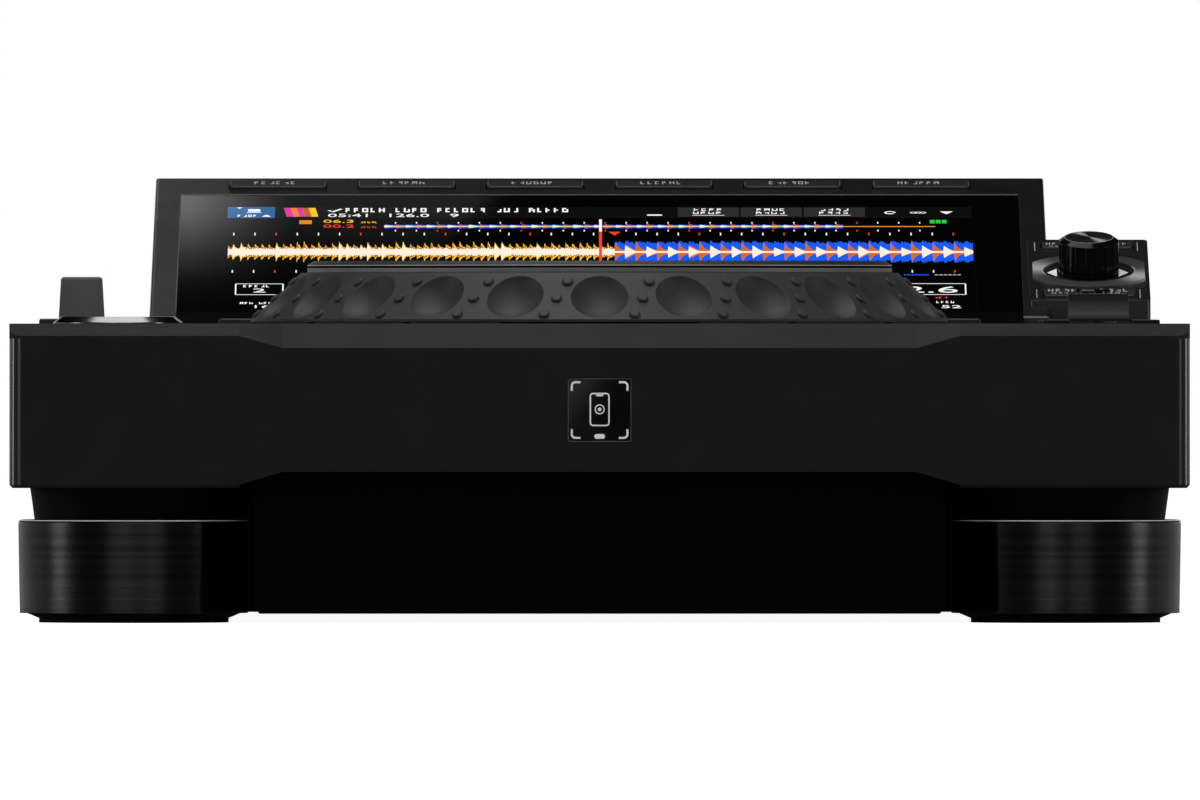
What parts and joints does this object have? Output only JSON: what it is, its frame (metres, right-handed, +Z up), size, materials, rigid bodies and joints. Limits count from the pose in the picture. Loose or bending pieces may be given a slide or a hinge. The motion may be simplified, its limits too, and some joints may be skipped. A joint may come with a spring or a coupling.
{
  "type": "tabletop dj cd player",
  "caption": "Black tabletop media deck with a jog wheel, sloping touch display, tempo slider, rotary selector, push keys and drum-shaped feet.",
  "frame": {"origin": "on the table, under the middle of the case's outline", "axes": "+X to the user's right, +Y to the rear, +Z up; the front faces -Y"},
  "size_m": [0.329, 0.453, 0.1257],
  "materials": {
    "case": "matt black lacquer",
    "deck": "black anodised, fine satin",
    "chassis": "black powder coat",
    "foot_metal": "black anodised, turned",
    "foot_neck": "black",
    "rubber": "black",
    "jog_grip": "dark grey soft touch",
    "jog_plate": "black anodised, turned",
    "spindle": "black",
    "hood": "dark grey, fine texture",
    "screen_glass": "dark gloss",
    "screen_panel": "black",
    "touch_glass": "black gloss",
    "key_plastic": "dark grey satin",
    "bright_trim": "dark polished",
    "knob_gloss": "gloss black",
    "dial_metal": "satin dark metal",
    "slider_cap": "dark grey satin",
    "fader_steel": "zinc plated",
    "socket_metal": "nickel plated",
    "socket_plastic": "black",
    "screw_steel": "blackened steel",
    "board": "green laminate",
    "supply_case": "plated sheet"
  },
  "bodies": {
    "player": {"upper_case": "case", "deck_plate": "deck", "lower_chassis": "chassis", "touch_window": "touch_glass", "foot_necks": "foot_neck", "foot_drums": "foot_metal", "foot_soles": "rubber", "jog_spindle": "spindle", "jog_display": "screen_panel", "display_housing": "hood", "display_glass": "screen_glass", "display_panel": "screen_panel", "selector_housing": "hood", "selector_ring": "dial_metal", "lever_plate": "key_plastic", "tempo_plate": "key_plastic", "tempo_fader": "fader_steel", "transport_rings": "bright_trim", "media_slot": "socket_plastic", "rear_panel": "chassis", "rear_sockets": "socket_metal", "power_inlet": "socket_plastic", "case_screws": "screw_steel", "main_board": "board", "power_supply": "supply_case"},
    "jog_wheel": {"jog_skirt": "jog_grip", "jog_top": "jog_plate"},
    "selector_knob": {"selector_knob": "knob_gloss"},
    "direction_lever": {"direction_lever": "slider_cap"},
    "tempo_knob": {"tempo_knob": "slider_cap"},
    "adjust_knob": {"adjust_knob": "knob_gloss"},
    "power_button": {"power_button": "socket_plastic"},
    "play_button": {"play_button": "key_plastic"},
    "cue_button": {"cue_button": "key_plastic"},
    "reloop_button": {"reloop_button": "key_plastic"},
    "sync_button": {"sync_button": "key_plastic"},
    "skip_back_button": {"skip_back_button": "key_plastic"},
    "search_back_button": {"search_back_button": "key_plastic"},
    "skip_forward_button": {"skip_forward_button": "key_plastic"},
    "search_forward_button": {"search_forward_button": "key_plastic"},
    "loop_in_button": {"loop_in_button": "key_plastic"},
    "loop_out_button": {"loop_out_button": "key_plastic"},
    "hot_cue_1": {"hot_cue_1": "key_plastic"},
    "hot_cue_2": {"hot_cue_2": "key_plastic"},
    "hot_cue_3": {"hot_cue_3": "key_plastic"},
    "hot_cue_4": {"hot_cue_4": "key_plastic"},
    "hot_cue_5": {"hot_cue_5": "key_plastic"},
    "hot_cue_6": {"hot_cue_6": "key_plastic"},
    "hot_cue_7": {"hot_cue_7": "key_plastic"},
    "hot_cue_8": {"hot_cue_8": "key_plastic"},
    "bezel_button_1": {"bezel_button_1": "key_plastic"},
    "bezel_button_2": {"bezel_button_2": "key_plastic"},
    "bezel_button_3": {"bezel_button_3": "key_plastic"},
    "bezel_button_4": {"bezel_button_4": "key_plastic"},
    "bezel_button_5": {"bezel_button_5": "key_plastic"},
    "bezel_button_6": {"bezel_button_6": "key_plastic"},
    "console_lower_left_button": {"console_lower_left_button": "key_plastic"},
    "console_lower_right_button": {"console_lower_right_button": "key_plastic"},
    "console_upper_left_button": {"console_upper_left_button": "key_plastic"},
    "console_upper_right_button": {"console_upper_right_button": "key_plastic"}
  },
  "joints": [
    {"name": "jog_turn", "type": "hinge", "parent": "player", "child": "jog_wheel", "pos_m": [0, -0.0986, 0.0978], "axis": [0, 0, 1], "continuous": true},
    {"name": "selector_turn", "type": "hinge", "parent": "player", "child": "selector_knob", "pos_m": [0.14065, 0.10457, 0.09803], "axis": [0, -0.2436, 0.9699], "continuous": true},
    {"name": "direction_flip", "type": "hinge", "parent": "player", "child": "direction_lever", "pos_m": [-0.1466, -0.0615, 0.0775], "axis": [1, 0, 0], "range_deg": [-14, 14]},
    {"name": "tempo_slide", "type": "slide", "parent": "player", "child": "tempo_knob", "axis": [0, -1, 0], "range_m": [-0.05, 0.05]},
    {"name": "adjust_turn", "type": "hinge", "parent": "player", "child": "adjust_knob", "pos_m": [0.1403, 0.0025, 0.0835], "axis": [0, 0, 1], "range_deg": [-140, 140]},
    {"name": "power_press", "type": "slide", "parent": "player", "child": "power_button", "axis": [0, -1, 0], "range_m": [0, 0.001], "stiffness_N_per_m": 600, "springref_m": -0.001},
    {"name": "play_press", "type": "slide", "parent": "player", "child": "play_button", "axis": [0, 0, -1], "range_m": [0, 0.001], "stiffness_N_per_m": 500, "springref_m": -0.001},
    {"name": "cue_press", "type": "slide", "parent": "player", "child": "cue_button", "axis": [0, 0, -1], "range_m": [0, 0.001], "stiffness_N_per_m": 500, "springref_m": -0.001},
    {"name": "reloop_press", "type": "slide", "parent": "player", "child": "reloop_button", "axis": [0, 0, -1], "range_m": [0, 0.001], "stiffness_N_per_m": 500, "springref_m": -0.001},
    {"name": "sync_press", "type": "slide", "parent": "player", "child": "sync_button", "axis": [0, 0, -1], "range_m": [0, 0.001], "stiffness_N_per_m": 500, "springref_m": -0.001},
    {"name": "skip_back_press", "type": "slide", "parent": "player", "child": "skip_back_button", "axis": [0, 0, -1], "range_m": [0, 0.001], "stiffness_N_per_m": 500, "springref_m": -0.001},
    {"name": "search_back_press", "type": "slide", "parent": "player", "child": "search_back_button", "axis": [0, 0, -1], "range_m": [0, 0.001], "stiffness_N_per_m": 500, "springref_m": -0.001},
    {"name": "skip_forward_press", "type": "slide", "parent": "player", "child": "skip_forward_button", "axis": [0, 0, -1], "range_m": [0, 0.001], "stiffness_N_per_m": 500, "springref_m": -0.001},
    {"name": "search_forward_press", "type": "slide", "parent": "player", "child": "search_forward_button", "axis": [0, 0, -1], "range_m": [0, 0.001], "stiffness_N_per_m": 500, "springref_m": -0.001},
    {"name": "loop_in_press", "type": "slide", "parent": "player", "child": "loop_in_button", "axis": [0, 0, -1], "range_m": [0, 0.001], "stiffness_N_per_m": 500, "springref_m": -0.001},
    {"name": "loop_out_press", "type": "slide", "parent": "player", "child": "loop_out_button", "axis": [0, 0, -1], "range_m": [0, 0.001], "stiffness_N_per_m": 500, "springref_m": -0.001},
    {"name": "hot_cue_1_press", "type": "slide", "parent": "player", "child": "hot_cue_1", "axis": [0, 0, -1], "range_m": [0, 0.001], "stiffness_N_per_m": 500, "springref_m": -0.001},
    {"name": "hot_cue_2_press", "type": "slide", "parent": "player", "child": "hot_cue_2", "axis": [0, 0, -1], "range_m": [0, 0.001], "stiffness_N_per_m": 500, "springref_m": -0.001},
    {"name": "hot_cue_3_press", "type": "slide", "parent": "player", "child": "hot_cue_3", "axis": [0, 0, -1], "range_m": [0, 0.001], "stiffness_N_per_m": 500, "springref_m": -0.001},
    {"name": "hot_cue_4_press", "type": "slide", "parent": "player", "child": "hot_cue_4", "axis": [0, 0, -1], "range_m": [0, 0.001], "stiffness_N_per_m": 500, "springref_m": -0.001},
    {"name": "hot_cue_5_press", "type": "slide", "parent": "player", "child": "hot_cue_5", "axis": [0, 0, -1], "range_m": [0, 0.001], "stiffness_N_per_m": 500, "springref_m": -0.001},
    {"name": "hot_cue_6_press", "type": "slide", "parent": "player", "child": "hot_cue_6", "axis": [0, 0, -1], "range_m": [0, 0.001], "stiffness_N_per_m": 500, "springref_m": -0.001},
    {"name": "hot_cue_7_press", "type": "slide", "parent": "player", "child": "hot_cue_7", "axis": [0, 0, -1], "range_m": [0, 0.001], "stiffness_N_per_m": 500, "springref_m": -0.001},
    {"name": "hot_cue_8_press", "type": "slide", "parent": "player", "child": "hot_cue_8", "axis": [0, 0, -1], "range_m": [0, 0.001], "stiffness_N_per_m": 500, "springref_m": -0.001},
    {"name": "bezel_1_press", "type": "slide", "parent": "player", "child": "bezel_button_1", "axis": [0, 0.2436, -0.9699], "range_m": [0, 0.001], "stiffness_N_per_m": 500, "springref_m": -0.001},
    {"name": "bezel_2_press", "type": "slide", "parent": "player", "child": "bezel_button_2", "axis": [0, 0.2436, -0.9699], "range_m": [0, 0.001], "stiffness_N_per_m": 500, "springref_m": -0.001},
    {"name": "bezel_3_press", "type": "slide", "parent": "player", "child": "bezel_button_3", "axis": [0, 0.2436, -0.9699], "range_m": [0, 0.001], "stiffness_N_per_m": 500, "springref_m": -0.001},
    {"name": "bezel_4_press", "type": "slide", "parent": "player", "child": "bezel_button_4", "axis": [0, 0.2436, -0.9699], "range_m": [0, 0.001], "stiffness_N_per_m": 500, "springref_m": -0.001},
    {"name": "bezel_5_press", "type": "slide", "parent": "player", "child": "bezel_button_5", "axis": [0, 0.2436, -0.9699], "range_m": [0, 0.001], "stiffness_N_per_m": 500, "springref_m": -0.001},
    {"name": "bezel_6_press", "type": "slide", "parent": "player", "child": "bezel_button_6", "axis": [0, 0.2436, -0.9699], "range_m": [0, 0.001], "stiffness_N_per_m": 500, "springref_m": -0.001},
    {"name": "console_lower_left_press", "type": "slide", "parent": "player", "child": "console_lower_left_button", "axis": [0, 0.2436, -0.9699], "range_m": [0, 0.001], "stiffness_N_per_m": 500, "springref_m": -0.001},
    {"name": "console_lower_right_press", "type": "slide", "parent": "player", "child": "console_lower_right_button", "axis": [0, 0.2436, -0.9699], "range_m": [0, 0.001], "stiffness_N_per_m": 500, "springref_m": -0.001},
    {"name": "console_upper_left_press", "type": "slide", "parent": "player", "child": "console_upper_left_button", "axis": [0, 0.2436, -0.9699], "range_m": [0, 0.001], "stiffness_N_per_m": 500, "springref_m": -0.001},
    {"name": "console_upper_right_press", "type": "slide", "parent": "player", "child": "console_upper_right_button", "axis": [0, 0.2436, -0.9699], "range_m": [0, 0.001], "stiffness_N_per_m": 500, "springref_m": -0.001}
  ]
}
